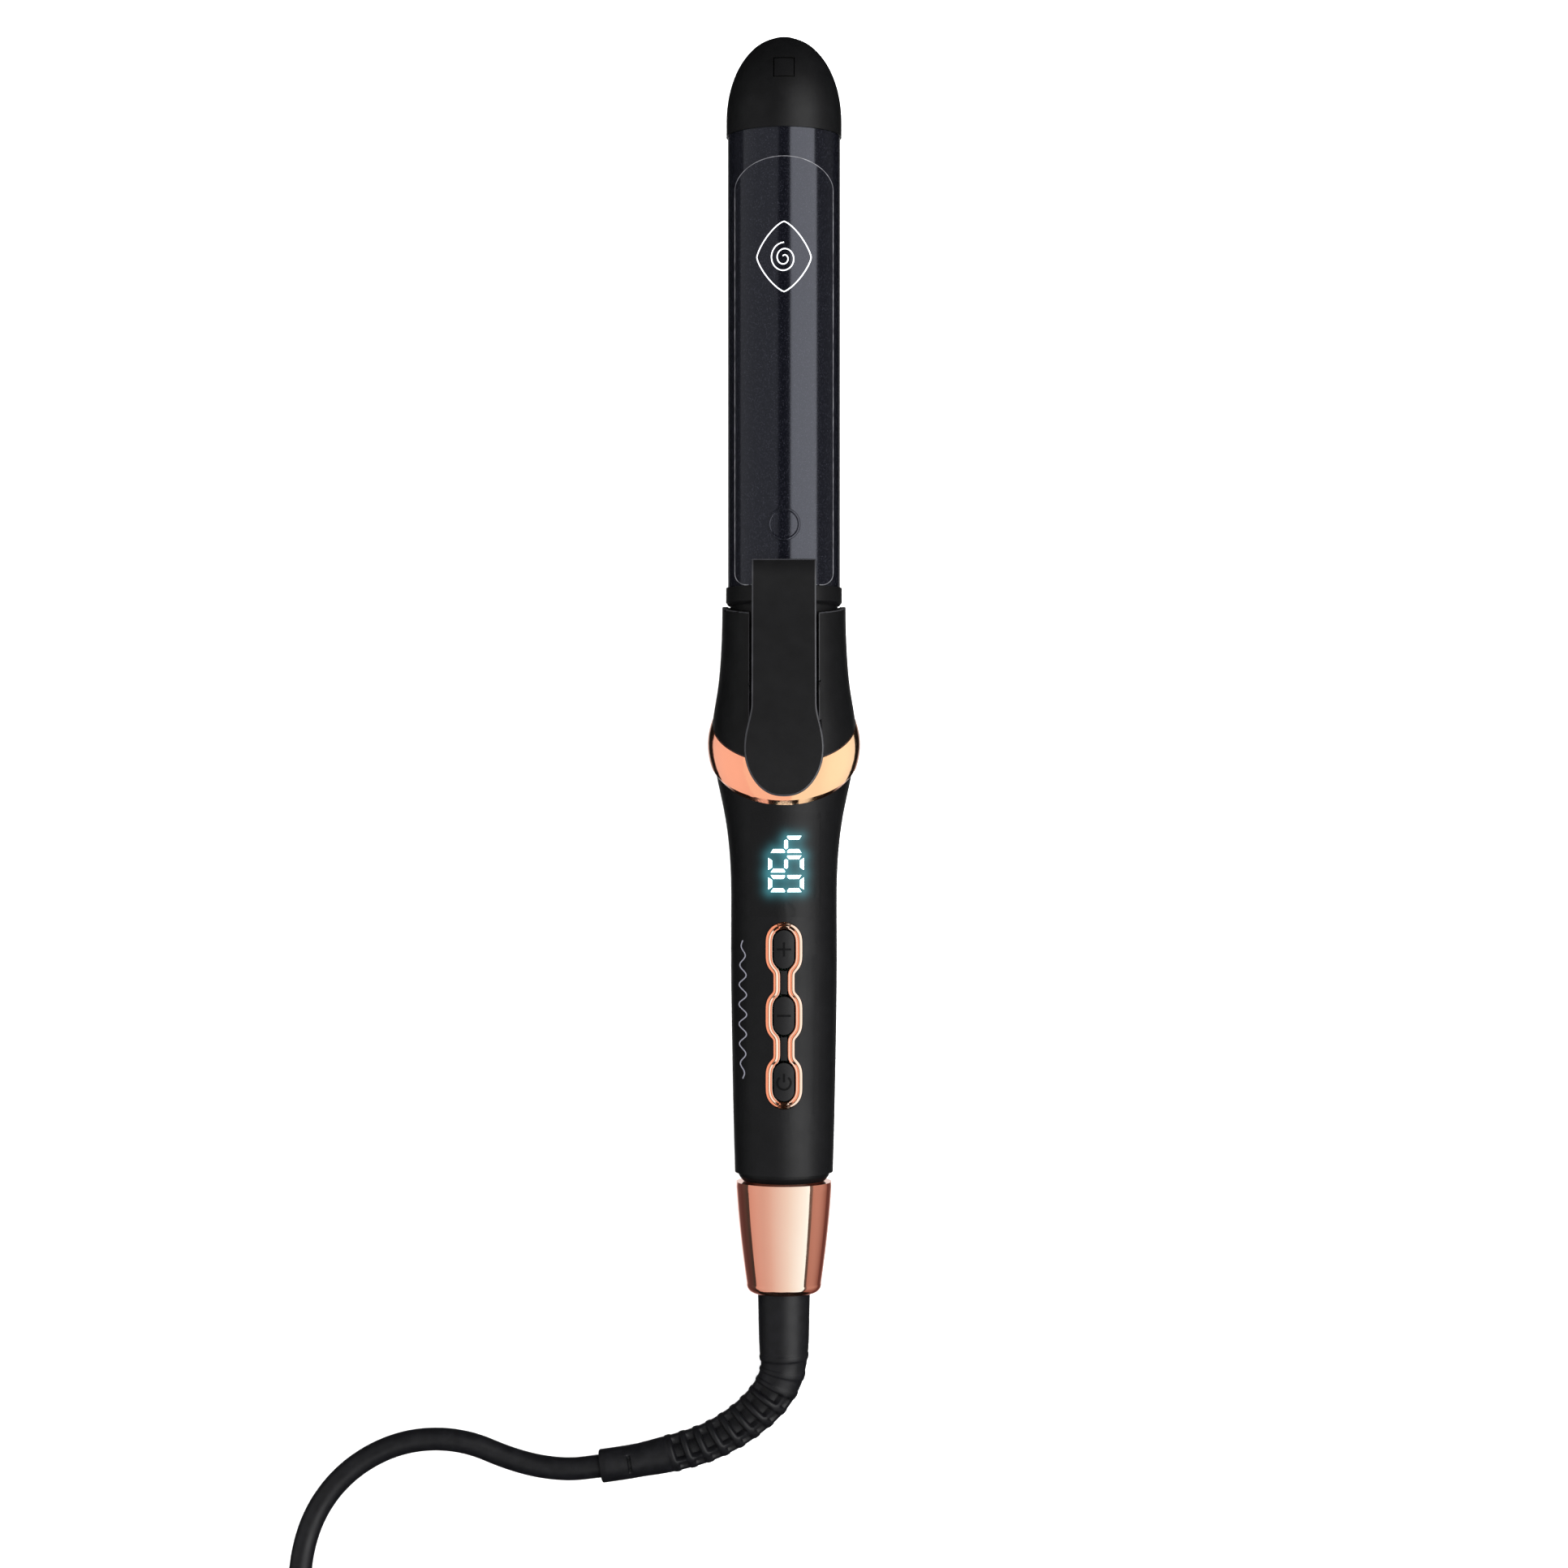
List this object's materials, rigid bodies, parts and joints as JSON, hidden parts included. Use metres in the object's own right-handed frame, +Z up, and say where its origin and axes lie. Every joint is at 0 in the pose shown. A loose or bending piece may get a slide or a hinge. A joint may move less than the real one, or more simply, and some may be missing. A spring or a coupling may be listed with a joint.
{
  "type": "curling iron",
  "caption": "Clip-type curling iron with a sprung thumb lever, a lit temperature display, push keys, a flip-out stand and a swivel cord with its plug.",
  "frame": {"origin": "on the surface that the iron rests on, under the centre of the iron without its cord", "axes": "+Z up, +Y towards the barrel's tip, +X to the right seen from above with the tip up; the iron lies clip side up on its stand, its axis tilted 7.5 degrees tip up"},
  "size_m": [0.1766, 0.5381, 0.0703],
  "materials": {
    "coated_barrel": "gloss black ceramic coat with fine metallic flake",
    "satin_black": "satin heat-resistant black plastic",
    "soft_touch": "soft-touch black coating",
    "rose_gold": "polished rose gold plating",
    "key_black": "fine matt black keys",
    "display_window": "dark window with lit figures behind it",
    "white_insulation": "white ceramic and film insulation",
    "extruded_aluminium": "extruded",
    "bare_steel": "zinc-plated steel",
    "black_steel": "satin black powder coat",
    "brass": "bright",
    "circuit_board": "green solder mask",
    "component_black": "moulded component bodies",
    "wire_jacket": "silicone wire jacket",
    "cord_black": "matt black flexible vinyl",
    "tie_black": "hook-and-loop tape"
  },
  "bodies": {
    "cord_side": {"strain_relief": "cord_black", "swivel_core": "component_black", "slip_rings": "brass", "cord_tube": "cord_black", "cord_coil": "cord_black", "cord_tail": "cord_black", "coil_tie": "tie_black", "plug_body": "cord_black", "plug_blades": "brass"},
    "handle": {"barrel_tube": "coated_barrel", "tip_cap": "satin_black", "tip_plug": "satin_black", "barrel_base": "satin_black", "upper_housing": "satin_black", "handle_front": "soft_touch", "handle_rear": "soft_touch", "accent_ring": "rose_gold", "button_bezel": "rose_gold", "end_collar": "rose_gold", "swivel_bush": "rose_gold", "key_web": "key_black", "display_lens": "display_window", "heater_plate": "white_insulation", "heater_film": "white_insulation", "thermal_fuse": "white_insulation", "heat_spreader_front": "extruded_aluminium", "heat_spreader_rear": "extruded_aluminium", "hinge_bracket": "bare_steel", "hinge_pin": "bare_steel", "clip_spring": "bare_steel", "shell_screws": "bare_steel", "stand_pin": "bare_steel", "temperature_sensor": "bare_steel", "brush_contacts": "brass", "control_board": "circuit_board", "board_parts": "component_black", "display_module": "component_black", "tact_switches": "component_black", "heater_wires": "wire_jacket"},
    "clip": {"clip_plate": "coated_barrel", "lever_screws": "bare_steel", "thumb_lever": "satin_black"},
    "key_plus": {"button_plus": "key_black"},
    "key_minus": {"button_minus": "key_black"},
    "key_power": {"button_power": "key_black"},
    "stand": {"stand": "black_steel"}
  },
  "joints": [
    {"name": "cord_swivel", "type": "hinge", "parent": "cord_side", "child": "handle", "pos_m": [0, -0.16194, 0.0122], "axis": [0, 0.9914, 0.1305], "continuous": true},
    {"name": "clip_hinge", "type": "hinge", "parent": "handle", "child": "clip", "pos_m": [0, 0.01026, 0.04496], "axis": [1, 0, 0], "range_deg": [0, 14], "stiffness_Nm_per_rad": 0.4, "springref_deg": -34.38, "deforming": ["clip_spring"]},
    {"name": "key_plus_press", "type": "slide", "parent": "handle", "child": "key_plus", "axis": [0, 0.1305, -0.9914], "range_m": [0, 0.0008], "stiffness_N_per_m": 1200, "springref_m": -0.0004},
    {"name": "key_minus_press", "type": "slide", "parent": "handle", "child": "key_minus", "axis": [0, 0.1305, -0.9914], "range_m": [0, 0.0008], "stiffness_N_per_m": 1200, "springref_m": -0.0004},
    {"name": "key_power_press", "type": "slide", "parent": "handle", "child": "key_power", "axis": [0, 0.1305, -0.9914], "range_m": [0, 0.0008], "stiffness_N_per_m": 1200, "springref_m": -0.0004},
    {"name": "stand_fold", "type": "hinge", "parent": "handle", "child": "stand", "pos_m": [0, 0.02232, 0.0177], "axis": [1, 0, 0], "range_deg": [0, 95]}
  ]
}
